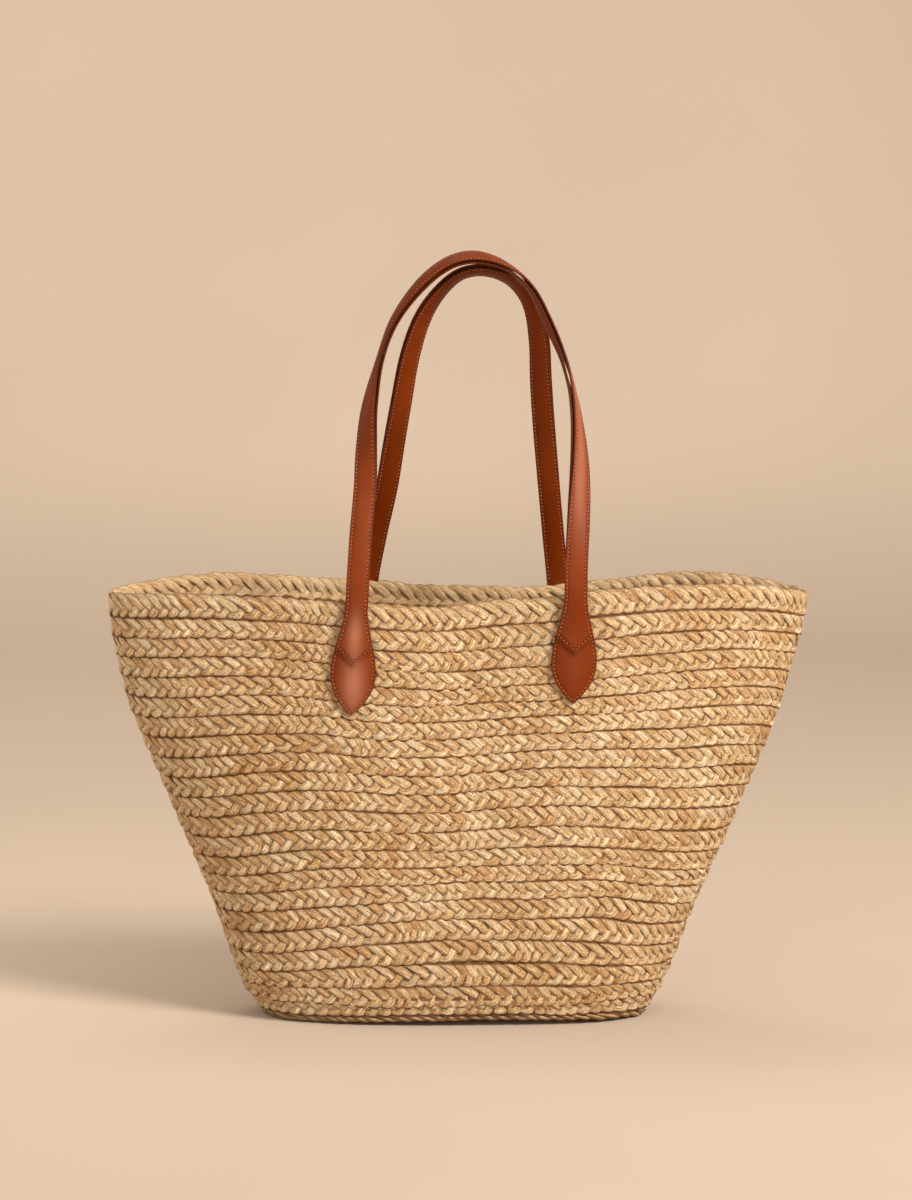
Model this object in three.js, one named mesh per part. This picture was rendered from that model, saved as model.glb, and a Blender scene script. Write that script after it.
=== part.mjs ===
// Straw basket bag: an open basket of stitched braid rows on a flat oval base,
// with two leather strap handles sewn on by spade-shaped tabs.
// Millimetres, +Z up. The front is -Y, +X is to the right seen from the front,
// and z = 0 is the surface that the bag stands on.
import * as THREE from 'three';
import { mergeVertices } from 'three/addons/utils/BufferGeometryUtils.js';

// Basket
const RIM_WIDTH = 506;
const RIM_DEPTH = 138;
const RIM_HEIGHT = 305;
const RIM_WAVE = 10;
const BASE_WIDTH = 284;
const BASE_DEPTH = 118;
const BASE_THICKNESS = 5;
const BASE_EDGE_ROUND = 2;
const WALL_THICKNESS = 5;
const BELLY = 4;
const ROW_COUNT = 22;
const TOP_ROW_EXTRA = 0.24;
const ROW_RELIEF = 1.5;
const ROW_SWELL = 0.72;
const COIL_COUNT = 3;
const COIL_RELIEF = 1;
const COIL_RIDGE = 0.35;

// Handles
const HANDLE_SPACING = 155;
const HANDLE_RISE = 240;
const STRAP_WIDTH = 16;
const LEATHER_THICKNESS = 1.6;
const LINING_THICKNESS = 1.4;
const TAB_WIDTH = 32;
const TAB_DROP = 78;
const TAB_ROUND = 30;
const TAB_TAPER = 47;
const TAB_POINT = 2.2;
const LINING_START = 38;
const LINING_POINT = 13;
const LINING_RAMP = 9;
const ARCH_MARGIN = 1.2;

const FIT_GAP = 0.35;

// Mesh fineness
const COLUMNS = 56;
const ARCH_STEP = 18;
const TIP_BLUNT = 0.6;
const COLUMN_CROWDING = 0.2;
const ANGLE_STEP = 0.01;

// Wall outline by level, a share of the wall height. width: share of the way from the base's
// width to the rim's; depth: the same for the depth; belly: share of BELLY; power: 2 is an ellipse,
// more is squarer; shift: how far the outline leans to the right, a share of half the rim's width.
const OUTLINE = [
  { level: 0.0, width: 0.0, depth: 0.0, belly: 0.0, power: 2.6, shift: -0.012 },
  { level: 0.07, width: 0.11, depth: 0.3, belly: 0.3, power: 2.55, shift: -0.015 },
  { level: 0.27, width: 0.317, depth: 0.6, belly: 0.8, power: 2.4, shift: -0.009 },
  { level: 0.46, width: 0.538, depth: 0.8, belly: 1.0, power: 2.25, shift: -0.006 },
  { level: 0.65, width: 0.754, depth: 0.92, belly: 0.9, power: 2.12, shift: -0.007 },
  { level: 0.745, width: 0.85, depth: 0.96, belly: 0.7, power: 2.06, shift: -0.009 },
  { level: 0.84, width: 0.919, depth: 1.0, belly: 0.45, power: 2.02, shift: -0.007 },
  { level: 0.93, width: 0.973, depth: 1.0, belly: 0.2, power: 2.0, shift: -0.003 },
  { level: 1.0, width: 1.0, depth: 1.0, belly: 0.0, power: 2.0, shift: 0.0 },
];

// Rim line. across: share of half the rim's width; front and back: share of RIM_WAVE
// that the rim stands above its height at the two ends.
const RIM_LINE = [
  { across: -1.0, front: 0.0, back: 0.0 },
  { across: -0.86, front: 0.12, back: 0.62 },
  { across: -0.68, front: 0.22, back: 0.92 },
  { across: -0.44, front: 0.0, back: 0.56 },
  { across: -0.22, front: -0.3, back: 0.1 },
  { across: -0.05, front: -0.36, back: -0.14 },
  { across: 0.18, front: 0.24, back: -0.2 },
  { across: 0.42, front: 0.76, back: 0.22 },
  { across: 0.68, front: 1.0, back: 1.0 },
  { across: 0.86, front: 0.78, back: 0.72 },
  { across: 1.0, front: 0.0, back: 0.0 },
];

// Dents and swells of the wall. side: -1 front, 1 back; across: centre, and width: reach,
// both shares of half the width; depth: share of half the depth, less than 0 for a swell.
const DENTS = [
  { side: -1, across: 0.1, width: 0.16, depth: 0.11 },
  { side: -1, across: -0.38, width: 0.2, depth: -0.03 },
  { side: -1, across: 0.44, width: 0.18, depth: -0.03 },
  { side: 1, across: 0.12, width: 0.2, depth: 0.08 },
  { side: 1, across: -0.4, width: 0.2, depth: -0.03 },
  { side: 1, across: 0.48, width: 0.18, depth: -0.03 },
];
const DENT_FADE = 1.3;

// How far the front's row lines sink below an even spacing, as shares of the wall height.
// down: share of the rows above it; left, middle and right: places on the front.
const ROW_DRIFT = [
  { down: 0.0, left: 0.0, middle: 0.0, right: 0.0 },
  { down: 0.14, left: -0.008, middle: 0.009, right: 0.02 },
  { down: 0.36, left: 0.005, middle: -0.006, right: 0.014 },
  { down: 0.59, left: 0.014, middle: -0.009, right: 0.016 },
  { down: 0.73, left: 0.012, middle: -0.024, right: -0.012 },
  { down: 0.86, left: 0.012, middle: -0.012, right: -0.012 },
  { down: 1.0, left: 0.0, middle: 0.0, right: 0.0 },
];
const DRIFT_PLACE = 0.5;

// Tabs. tip and rim: where the strap's centre line starts and crosses the rim,
// as shares of half the handle spacing.
const TABS = {
  front: { left: { tip: -0.972, rim: -0.916 }, right: { tip: 1.041, rim: 1.066 } },
  back: { left: { tip: -0.946, rim: -0.862 }, right: { tip: 1.01, rim: 0.952 } },
};

// Handle arches from left to right. across: share of half the handle spacing; up: share of
// HANDLE_RISE above the rim; turn: degrees that the strap's outer face has turned from facing
// away from the bag (0) to facing out of the arch (90).
const ARCHES = {
  front: [
    { across: -0.88, up: 0.19, turn: 0 },
    { across: -0.839, up: 0.33, turn: 10 },
    { across: -0.817, up: 0.455, turn: 36 },
    { across: -0.786, up: 0.56, turn: 57 },
    { across: -0.688, up: 0.698, turn: 82 },
    { across: -0.554, up: 0.812, turn: 78 },
    { across: -0.315, up: 0.916, turn: 69 },
    { across: -0.075, up: 0.976, turn: 67 },
    { across: 0.152, up: 0.993, turn: 68 },
    { across: 0.41, up: 0.969, turn: 80 },
    { across: 0.627, up: 0.912, turn: 95 },
    { across: 0.78, up: 0.82, turn: 103 },
    { across: 0.935, up: 0.705, turn: 95 },
    { across: 1.022, up: 0.602, turn: 82 },
    { across: 1.067, up: 0.5, turn: 66 },
    { across: 1.09, up: 0.38, turn: 42 },
    { across: 1.088, up: 0.25, turn: 16 },
    { across: 1.072, up: 0.11, turn: 0 },
  ],
  back: [
    { across: -0.785, up: 0.14, turn: 0 },
    { across: -0.668, up: 0.303, turn: 8 },
    { across: -0.59, up: 0.439, turn: 22 },
    { across: -0.512, up: 0.573, turn: 31 },
    { across: -0.434, up: 0.7, turn: 39 },
    { across: -0.322, up: 0.808, turn: 50 },
    { across: -0.177, up: 0.883, turn: 62 },
    { across: 0.022, up: 0.941, turn: 69 },
    { across: 0.245, up: 0.954, turn: 70 },
    { across: 0.482, up: 0.927, turn: 66 },
    { across: 0.655, up: 0.865, turn: 50 },
    { across: 0.735, up: 0.76, turn: 36 },
    { across: 0.762, up: 0.63, turn: 24 },
    { across: 0.797, up: 0.5, turn: 12 },
    { across: 0.846, up: 0.34, turn: 4 },
    { across: 0.902, up: 0.16, turn: 0 },
  ],
};
const LEAN_POWER = 1.35;
const FREE_HEIGHT = 18;

const STRAW = new THREE.MeshStandardMaterial({ color: 0xcda56e, roughness: 0.75, metalness: 0 });
const STRAW_BASE = new THREE.MeshStandardMaterial({ color: 0xb98f5a, roughness: 0.8, metalness: 0 });
const LEATHER = new THREE.MeshStandardMaterial({ color: 0x96461f, roughness: 0.55, metalness: 0 });
const LINING_LEATHER = new THREE.MeshStandardMaterial({ color: 0x8a4526, roughness: 0.65, metalness: 0 });

const wallFoot = BASE_THICKNESS + FIT_GAP;
const clamp = THREE.MathUtils.clamp;
const lerp = THREE.MathUtils.lerp;

// Value of a table's column at a place, by a cubic curve through the rows
function tableValue(rows, key, column, place) {
  const last = rows.length - 1;
  const at = clamp(place, rows[0][key], rows[last][key]);
  let i = 0;
  while (i < last - 1 && at > rows[i + 1][key]) i += 1;
  const slope = (a, b) => (rows[b][column] - rows[a][column]) / (rows[b][key] - rows[a][key]);
  const span = rows[i + 1][key] - rows[i][key];
  const slopeIn = i > 0 ? slope(i - 1, i + 1) : slope(i, i + 1);
  const slopeOut = i < last - 1 ? slope(i, i + 2) : slope(i, i + 1);
  const s = (at - rows[i][key]) / span;
  const from = rows[i][column] * (1 + 2 * s) * (1 - s) ** 2 + slopeIn * span * s * (1 - s) ** 2;
  const to = rows[i + 1][column] * s * s * (3 - 2 * s) - slopeOut * span * s * s * (1 - s);
  return from + to;
}

// Half sizes and squareness of the basket's outer outline at a level
function outlineAt(level) {
  const share = (column) => tableValue(OUTLINE, 'level', column, level);
  return {
    halfWidth: lerp(BASE_WIDTH, RIM_WIDTH, share('width')) / 2,
    halfDepth: lerp(BASE_DEPTH, RIM_DEPTH, share('depth')) / 2 + BELLY * share('belly'),
    power: share('power'),
    shift: (share('shift') * RIM_WIDTH) / 2,
  };
}

// Height of the rim's top edge on one side, at a share of half the width
function rimHeight(side, across) {
  return RIM_HEIGHT + RIM_WAVE * tableValue(RIM_LINE, 'across', side < 0 ? 'front' : 'back', across);
}

// Share of the half depth that the dents and swells take away
function dentAt(side, across, level) {
  let dent = 0;
  for (const row of DENTS) {
    if (row.side === side) dent += row.depth * Math.exp(-(((across - row.across) / row.width) ** 2));
  }
  return dent * level ** DENT_FADE;
}

// Distance of the wall's outer surface from the middle plane, towards one side
function wallDepth(side, across, level) {
  const { halfDepth, power } = outlineAt(level);
  const round = Math.max(0, 1 - Math.abs(across) ** power) ** (1 / power);
  return halfDepth * round * (1 - dentAt(side, across, level));
}

// Point of the outer surface at an angle round the basket and a level
function wallPoint(angle, level) {
  const { halfWidth, power, shift } = outlineAt(level);
  const side = Math.sin(angle) < 0 ? -1 : 1;
  const across = Math.sign(Math.cos(angle)) * Math.abs(Math.cos(angle)) ** (2 / power);
  const height = lerp(wallFoot, rimHeight(side, across), level);
  return new THREE.Vector3(shift + across * halfWidth, side * wallDepth(side, across, level), height);
}

// Angles of the columns, closer together in the long flat sides than an even step gives
function columnAngle(column) {
  const turn = (2 * Math.PI * column) / COLUMNS;
  return turn + COLUMN_CROWDING * Math.sin(2 * turn);
}

// Level of a row line at an angle, counted down from the rim
function rowLevel(row, angle) {
  const even = (row + TOP_ROW_EXTRA * Math.min(row, 1)) / (ROW_COUNT + TOP_ROW_EXTRA);
  const frontShare = Math.max(0, -Math.sin(angle));
  const across = Math.cos(angle);
  const drift = (column) => tableValue(ROW_DRIFT, 'down', column, row / ROW_COUNT);
  const outer = drift(across < 0 ? 'left' : 'right');
  const blend = THREE.MathUtils.smoothstep(Math.abs(across), 0, DRIFT_PLACE);
  return 1 - even - frontShare * lerp(drift('middle'), outer, blend);
}

// Solid between a chain of closed loops: each loop is joined to the next, and the ends are
// joined to each other in a ring, or closed by a fan to the loop's middle. The diagonals turn
// over in a loop's second half, so that the facing sides of two layers are folded alike.
function loftSolid(loops, ring) {
  const positions = [];
  const indices = [];
  const size = loops[0].length;
  for (const loop of loops) {
    for (const point of loop) positions.push(point.x, point.y, point.z);
  }
  const strips = ring ? loops.length : loops.length - 1;
  for (let i = 0; i < strips; i += 1) {
    const next = (i + 1) % loops.length;
    for (let j = 0; j < size; j += 1) {
      const k = (j + 1) % size;
      const corners = [i * size + j, i * size + k, next * size + k, next * size + j];
      if (j >= size / 2) corners.push(corners.shift());
      indices.push(corners[0], corners[1], corners[2], corners[0], corners[2], corners[3]);
    }
  }
  if (!ring) {
    for (const [index, flip] of [[0, true], [loops.length - 1, false]]) {
      const middle = loops[index].reduce((sum, point) => sum.add(point), new THREE.Vector3());
      middle.divideScalar(size);
      const centre = positions.length / 3;
      positions.push(middle.x, middle.y, middle.z);
      for (let j = 0; j < size; j += 1) {
        const here = index * size + j;
        const there = index * size + ((j + 1) % size);
        indices.push(centre, flip ? there : here, flip ? here : there);
      }
    }
  }
  const geometry = new THREE.BufferGeometry();
  geometry.setAttribute('position', new THREE.Float32BufferAttribute(positions, 3));
  geometry.setIndex(indices);
  const merged = mergeVertices(geometry, 1e-3);
  merged.computeVertexNormals();
  return merged;
}

// A loop round the basket at a level, moved in from the outer surface by an inset
function wallLoop(levelOf, inset, sink = 0) {
  const loop = [];
  for (let column = 0; column < COLUMNS; column += 1) {
    const angle = columnAngle(column);
    const level = levelOf(angle);
    const before = wallPoint(angle - ANGLE_STEP, level);
    const after = wallPoint(angle + ANGLE_STEP, level);
    const inward = new THREE.Vector3(before.y - after.y, after.x - before.x, 0).normalize();
    const point = wallPoint(angle, level).addScaledVector(inward, inset);
    point.z -= sink;
    loop.push(point);
  }
  return loop;
}

// The braided wall: every row swells towards its lower edge and steps back in at its line
function basketWall() {
  const edgeRound = WALL_THICKNESS / 4;
  const outer = [];
  for (let row = 0; row < ROW_COUNT; row += 1) {
    const inset = row === 0 ? edgeRound : ROW_RELIEF;
    outer.push(wallLoop((angle) => rowLevel(row, angle), inset));
    outer.push(wallLoop((angle) => lerp(rowLevel(row, angle), rowLevel(row + 1, angle), ROW_SWELL), 0));
  }
  outer.push(wallLoop(() => 0, ROW_RELIEF));
  const innerLevels = [0, 0.15, 0.33, 0.52, 0.7, 0.86];
  const inner = innerLevels.map((level) => wallLoop(() => level, WALL_THICKNESS));
  const lip = wallLoop(() => 1, WALL_THICKNESS, edgeRound);
  const top = wallLoop(() => 1, WALL_THICKNESS - edgeRound);
  return loftSolid([...outer, ...inner, lip, top].reverse(), true);
}

// The base: a flat oval mat under the wall, with a rounded edge and coil ridges inside
function basketBase() {
  const ringAt = (share, inset, height) => {
    const edge = wallLoop(() => 0, ROW_RELIEF + inset);
    return edge.map((point) => new THREE.Vector3(point.x * share, point.y * share, height));
  };
  const loops = [ringAt(0.5, 0, 0), ringAt(1, BASE_EDGE_ROUND, 0)];
  loops.push(ringAt(1, BASE_EDGE_ROUND * 0.3, BASE_EDGE_ROUND * 0.3));
  loops.push(ringAt(1, 0, BASE_EDGE_ROUND));
  loops.push(ringAt(1, 0, BASE_THICKNESS));
  loops.push(ringAt(1, WALL_THICKNESS, BASE_THICKNESS));
  for (let coil = COIL_COUNT; coil > 0; coil -= 1) {
    const share = coil / (COIL_COUNT + 1);
    loops.push(ringAt(share + COIL_RIDGE / (COIL_COUNT + 1), WALL_THICKNESS, BASE_THICKNESS));
    loops.push(ringAt(share, WALL_THICKNESS, BASE_THICKNESS - COIL_RELIEF));
  }
  return loftSolid(loops, false);
}

// Distance of a strap's inner face from the middle plane: on the wall's outer surface below
// the rim, then leaning in to the arches, lift being the distance out from the wall
function strapDepth(side, x, z, lift) {
  const rimAcross = x / (RIM_WIDTH / 2);
  const rim = rimHeight(side, rimAcross);
  const level = clamp((z - wallFoot) / (rim - wallFoot), 0, 1);
  const { halfWidth, shift } = outlineAt(level);
  const wall = wallDepth(side, (x - shift) / halfWidth, level) + lift;
  const climb = clamp((z - rim) / HANDLE_RISE, 0, 1);
  const lean = Math.sin((climb * Math.PI) / 2) ** LEAN_POWER;
  return lerp(wall, STRAP_WIDTH / 2 + ARCH_MARGIN, lean);
}

// The centre line of one handle, from the left tab's tip to the right one's
function strapRoute(name) {
  const side = name === 'front' ? -1 : 1;
  const half = HANDLE_SPACING / 2;
  const rim = (across) => rimHeight(side, (across * half) / (RIM_WIDTH / 2));
  const { left, right } = TABS[name];
  const rows = [
    { across: left.tip, z: rim(left.rim) - TAB_DROP, turn: 0 },
    { across: lerp(left.tip, left.rim, 0.5), z: rim(left.rim) - TAB_DROP / 2, turn: 0 },
    { across: left.rim, z: rim(left.rim), turn: 0 },
    ...ARCHES[name].map((row) => ({ ...row, z: RIM_HEIGHT + row.up * HANDLE_RISE })),
    { across: right.rim, z: rim(right.rim), turn: 0 },
    { across: lerp(right.tip, right.rim, 0.5), z: rim(right.rim) - TAB_DROP / 2, turn: 0 },
    { across: right.tip, z: rim(right.rim) - TAB_DROP, turn: 0 },
  ].map((row, index) => ({ ...row, index }));
  const points = rows.map(({ across, z }) => {
    const x = across * half;
    return new THREE.Vector3(x, side * strapDepth(side, x, z, FIT_GAP), z);
  });
  const curve = new THREE.CatmullRomCurve3(points, false, 'centripetal');
  curve.arcLengthDivisions = 800;
  return { side, rows, curve, length: curve.getLength() };
}

// Centre, outward direction and across direction of the strap at a distance along the route
function strapFrame(route, distance) {
  const { side, rows, curve, length } = route;
  const seat = (share) => {
    const point = curve.getPointAt(clamp(share, 0, 1));
    point.y = side * strapDepth(side, point.x, point.z, FIT_GAP);
    return point;
  };
  const share = distance / length;
  const centre = seat(share);
  const step = 1 / length;
  const along = seat(share + step).sub(seat(share - step)).normalize();
  const facing = new THREE.Vector3(0, side, 0);
  const outOfArch = facing.clone().cross(along).multiplyScalar(-side).normalize();
  const outOfBag = outOfArch.clone().cross(along).multiplyScalar(side).normalize();
  const index = curve.getUtoTmapping(share) * (rows.length - 1);
  const turn = THREE.MathUtils.degToRad(tableValue(rows, 'index', 'turn', index));
  const outward = outOfBag.multiplyScalar(Math.cos(turn)).addScaledVector(outOfArch, Math.sin(turn));
  const across = along.clone().cross(outward);
  return { side, centre, outward, across };
}

// Distances along a route where its strap has a cross section: close together on the tabs
function strapStations(route) {
  const round = [0.12, 0.28, 0.48, 0.7, 0.88, 1].map((share) => share * TAB_ROUND);
  const taper = [0.33, 0.65, 0.83, 1].map((share) => TAB_ROUND + share * TAB_TAPER);
  const lining = [-LINING_RAMP / 2, 0, LINING_POINT].map((distance) => LINING_START + distance);
  const tab = [TIP_BLUNT, ...round, ...taper, ...lining].sort((a, b) => a - b);
  const last = tab[tab.length - 1];
  const free = route.length - 2 * last;
  const steps = Math.round(free / ARCH_STEP);
  const arch = Array.from({ length: steps - 1 }, (_, i) => last + (free * (i + 1)) / steps);
  return [...tab, ...arch, ...tab.map((distance) => route.length - distance).reverse()];
}

// One leather layer: from bottom to top above the strap's inner face, half width by distance
// from the nearer tip, lying on the wall at its tabs and free above the rim
function strapLayer(route, start, halfWidthAt, bottomAt, thickness) {
  const segments = 4;
  const loops = [];
  for (const distance of strapStations(route)) {
    const fromTip = Math.min(distance, route.length - distance);
    if (fromTip < start) continue;
    const { side, centre, outward, across } = strapFrame(route, distance);
    const point = (place, height) => {
      const flat = centre.clone().addScaledVector(across, place * halfWidthAt(fromTip));
      const free = flat.clone().addScaledVector(outward, height);
      const rim = rimHeight(side, flat.x / (RIM_WIDTH / 2));
      const seated = flat.clone().setY(side * strapDepth(side, flat.x, flat.z, FIT_GAP + height));
      return seated.lerp(free, THREE.MathUtils.smoothstep(flat.z, rim, rim + FREE_HEIGHT));
    };
    const places = Array.from({ length: segments + 1 }, (_, i) => (2 * i) / segments - 1);
    const bottom = bottomAt(fromTip);
    const topRow = places.map((place) => point(place, bottom + thickness));
    const bottomRow = places.map((place) => point(place, bottom)).reverse();
    loops.push([...topRow, ...bottomRow]);
  }
  return loftSolid(loops, false);
}

// Outer leather: a spade tab with curved sides that meet in a point, easing into the strap
function handleLeather(route) {
  const halfWidthAt = (fromTip) => {
    if (fromTip < TAB_ROUND) return (TAB_WIDTH / 2) * (1 - (1 - fromTip / TAB_ROUND) ** TAB_POINT);
    const eased = THREE.MathUtils.smoothstep(fromTip, TAB_ROUND, TAB_ROUND + TAB_TAPER);
    return lerp(TAB_WIDTH, STRAP_WIDTH, eased) / 2;
  };
  const bottomAt = (fromTip) => {
    const raised = THREE.MathUtils.smoothstep(fromTip, LINING_START - LINING_RAMP, LINING_START);
    return raised * (LINING_THICKNESS + FIT_GAP);
  };
  return strapLayer(route, 0, halfWidthAt, bottomAt, LEATHER_THICKNESS);
}

// Lining leather: under the strap from one tab to the other, pointed at both ends
function handleLining(route) {
  const halfWidthAt = (fromTip) => {
    const grown = clamp((fromTip - LINING_START + TIP_BLUNT) / LINING_POINT, 0, 1);
    return (STRAP_WIDTH / 2) * grown;
  };
  return strapLayer(route, LINING_START, halfWidthAt, () => 0, LINING_THICKNESS);
}

const bag = new THREE.Group();

function addPiece(name, geometry, material) {
  const mesh = new THREE.Mesh(geometry, material);
  mesh.name = name;
  bag.add(mesh);
}

addPiece('basket_base', basketBase(), STRAW_BASE);
addPiece('basket_wall', basketWall(), STRAW);
for (const name of ['front', 'back']) {
  const route = strapRoute(name);
  addPiece(`${name}_handle`, handleLeather(route), LEATHER);
  addPiece(`${name}_handle_lining`, handleLining(route), LINING_LEATHER);
}

export default bag;
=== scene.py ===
import math

import bpy
import numpy as np
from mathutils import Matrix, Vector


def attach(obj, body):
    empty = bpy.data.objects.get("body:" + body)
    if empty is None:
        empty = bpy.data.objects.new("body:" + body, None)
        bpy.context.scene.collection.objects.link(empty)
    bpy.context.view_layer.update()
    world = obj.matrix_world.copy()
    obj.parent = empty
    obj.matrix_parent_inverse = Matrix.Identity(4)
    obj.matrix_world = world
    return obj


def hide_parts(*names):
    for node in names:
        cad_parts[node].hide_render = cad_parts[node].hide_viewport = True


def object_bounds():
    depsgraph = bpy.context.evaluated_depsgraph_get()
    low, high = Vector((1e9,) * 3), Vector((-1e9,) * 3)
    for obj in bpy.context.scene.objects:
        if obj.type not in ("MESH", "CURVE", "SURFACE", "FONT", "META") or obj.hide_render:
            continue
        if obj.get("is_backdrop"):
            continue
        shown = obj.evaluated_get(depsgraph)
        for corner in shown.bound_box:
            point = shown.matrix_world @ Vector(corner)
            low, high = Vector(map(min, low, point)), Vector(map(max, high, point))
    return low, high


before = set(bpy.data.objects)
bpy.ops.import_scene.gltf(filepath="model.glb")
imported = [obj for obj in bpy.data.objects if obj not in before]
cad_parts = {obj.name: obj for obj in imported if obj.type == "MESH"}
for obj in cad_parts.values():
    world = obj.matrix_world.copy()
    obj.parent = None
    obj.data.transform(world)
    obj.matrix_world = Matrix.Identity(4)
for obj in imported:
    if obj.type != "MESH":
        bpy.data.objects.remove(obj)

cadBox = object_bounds()
print("frame loaded")

# Straw basket bag, in metres, +Z up, the front is -Y.

basket = {
    "rimWidth": 0.506,
    "rimDepth": 0.138,
    "rimHeight": 0.305,
    "rimWave": 0.010,
    "baseWidth": 0.284,
    "baseDepth": 0.118,
    "foot": 0.0054,  # where the wall starts, on top of the base
    "belly": 0.004,
    "dentFade": 1.3,
    "rowCount": 22,
    "topRowExtra": 0.24,
}

# level, width, depth, belly, power, shift: the wall's outline from the foot (0) to the rim (1)
outlineRows = np.array([
    [0, 0, 0, 0, 2.6, -0.012],
    [0.07, 0.11, 0.3, 0.3, 2.55, -0.015],
    [0.27, 0.317, 0.6, 0.8, 2.4, -0.009],
    [0.46, 0.538, 0.8, 1, 2.25, -0.006],
    [0.65, 0.754, 0.92, 0.9, 2.12, -0.007],
    [0.745, 0.85, 0.96, 0.7, 2.06, -0.009],
    [0.84, 0.919, 1, 0.45, 2.02, -0.007],
    [0.93, 0.973, 1, 0.2, 2, -0.003],
    [1, 1, 1, 0, 2, 0],
])

# across, front, back: how far the rim stands above its ends, in shares of rimWave
rimRows = np.array([
    [-1, 0, 0],
    [-0.86, 0.12, 0.62],
    [-0.68, 0.22, 0.92],
    [-0.44, 0, 0.56],
    [-0.22, -0.3, 0.1],
    [-0.05, -0.36, -0.14],
    [0.18, 0.24, -0.2],
    [0.42, 0.76, 0.22],
    [0.68, 1, 1],
    [0.86, 0.78, 0.72],
    [1, 0, 0],
])

# side, across, width, depth: dents, and swells where depth is below 0
dentRows = [
    [-1, 0.1, 0.16, 0.11],
    [-1, -0.38, 0.2, -0.03],
    [-1, 0.44, 0.18, -0.03],
    [1, 0.12, 0.2, 0.08],
    [1, -0.4, 0.2, -0.03],
    [1, 0.48, 0.18, -0.03],
]

# across the front, in shares of half its width
driftPlaces = np.array([-1, -0.8, -0.5, -0.25, 0, 0.25, 0.5, 0.75, 1])

# share of rows above, then how far the row line sinks at each of those places
driftRows = np.array([
    [0, 0, 0, 0, 0, 0, 0, 0, 0, 0],
    [0.14, 0.006, 0.001, -0.007, 0.0025, 0.013, 0.019, 0.011, 0.004, -0.005],
    [0.3, 0.017, 0.009, -0.0107, -0.007, -0.007, -0.0035, 0.0014, 0, -0.012],
    [0.47, 0.026, 0.0175, -0.009, -0.012, -0.0125, -0.0155, -0.004, 0.009, 0],
    [0.6, 0.03, 0.026, -0.001, -0.01, -0.01, -0.008, 0.003, 0.021, 0.02],
    [0.73, 0.026, 0.023, 0.003, -0.015, -0.026, -0.0185, -0.018, 0.004, 0.015],
    [0.86, 0.03, 0.033, 0.016, 0.003, -0.007, -0.002, 0.01, 0.02, 0.02],
    [0.95, 0.012, 0.016, 0.016, 0.024, 0.026, 0.026, 0.022, 0.014, 0.01],
    [1, 0, 0, 0, 0, 0, 0, 0, 0, 0],
])


def tableValue(rows, column, place):
    # a cubic through the rows, whose slope at each row is that of its two neighbours
    keys, values = rows[:, 0], rows[:, column]
    at = np.clip(place, keys[0], keys[-1])
    i = np.clip(np.searchsorted(keys, at, side="right") - 1, 0, len(keys) - 2)
    slopes = np.gradient(values, keys)
    slopes[1:-1] = (values[2:] - values[:-2]) / (keys[2:] - keys[:-2])
    span = keys[i + 1] - keys[i]
    s = (at - keys[i]) / span
    leaving = values[i] * (1 + 2 * s) * (1 - s) ** 2 + slopes[i] * span * s * (1 - s) ** 2
    reaching = values[i + 1] * s * s * (3 - 2 * s) - slopes[i + 1] * span * s * s * (1 - s)
    return leaving + reaching


def smoothStep(low, high, value):
    s = np.clip((value - low) / (high - low), 0, 1)
    return s * s * (3 - 2 * s)


def blendBetween(a, b, share):
    return a + (b - a) * share


def outlineAt(level):
    # half sizes, squareness and sideways shift of the outline at a level
    b = basket
    halfWidth = blendBetween(b["baseWidth"], b["rimWidth"], tableValue(outlineRows, 1, level)) / 2
    halfDepth = blendBetween(b["baseDepth"], b["rimDepth"], tableValue(outlineRows, 2, level)) / 2
    halfDepth = halfDepth + b["belly"] * tableValue(outlineRows, 3, level)
    shift = tableValue(outlineRows, 5, level) * b["rimWidth"] / 2
    return halfWidth, halfDepth, tableValue(outlineRows, 4, level), shift


def rimHeight(side, across):
    wave = np.where(side < 0, tableValue(rimRows, 1, across), tableValue(rimRows, 2, across))
    return basket["rimHeight"] + basket["rimWave"] * wave


def wallDepth(side, across, level):
    # half depth times the rounding of a superellipse, less the dents
    halfDepth, power = outlineAt(level)[1:3]
    rounding = np.maximum(0, 1 - np.abs(across) ** power) ** (1 / power)
    dent = 0
    for dentSide, place, width, depth in dentRows:
        dent = dent + (side == dentSide) * depth * np.exp(-(((across - place) / width) ** 2))
    return halfDepth * rounding * (1 - dent * np.clip(level, 0, 1) ** basket["dentFade"])


def wallPoint(angle, level):
    # superellipse at each level: across = cos^(2/power), with the height from foot to rim line
    halfWidth, _, power, shift = outlineAt(level)
    side = np.where(np.sin(angle) < 0, -1, 1)
    across = np.sign(np.cos(angle)) * np.abs(np.cos(angle)) ** (2 / power)
    rim = rimHeight(side, across)
    height = basket["foot"] + (rim - basket["foot"]) * level
    return np.stack([shift + across * halfWidth, side * wallDepth(side, across, level), height], -1)


def rowLevel(row, angle):
    # even rows with a taller one at the rim, plus the drift of the front's lines
    b = basket
    even = (row + b["topRowExtra"] * min(row, 1)) / (b["rowCount"] + b["topRowExtra"])
    share = row / b["rowCount"]
    sinks = [float(tableValue(driftRows, column, share)) for column in range(1, len(driftPlaces) + 1)]
    drift = tableValue(np.stack([driftPlaces, sinks], -1), 1, np.cos(angle))
    return 1 - even - smoothStep(0, 0.35, -np.sin(angle)) * drift


def unit(vectors):
    return vectors / np.maximum(np.linalg.norm(vectors, axis=-1, keepdims=True), 1e-12)


def runAlong(line):
    # distance along a line of points, from its start
    return np.concatenate([[0], np.cumsum(np.linalg.norm(np.diff(line, axis=0), axis=1))])


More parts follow.
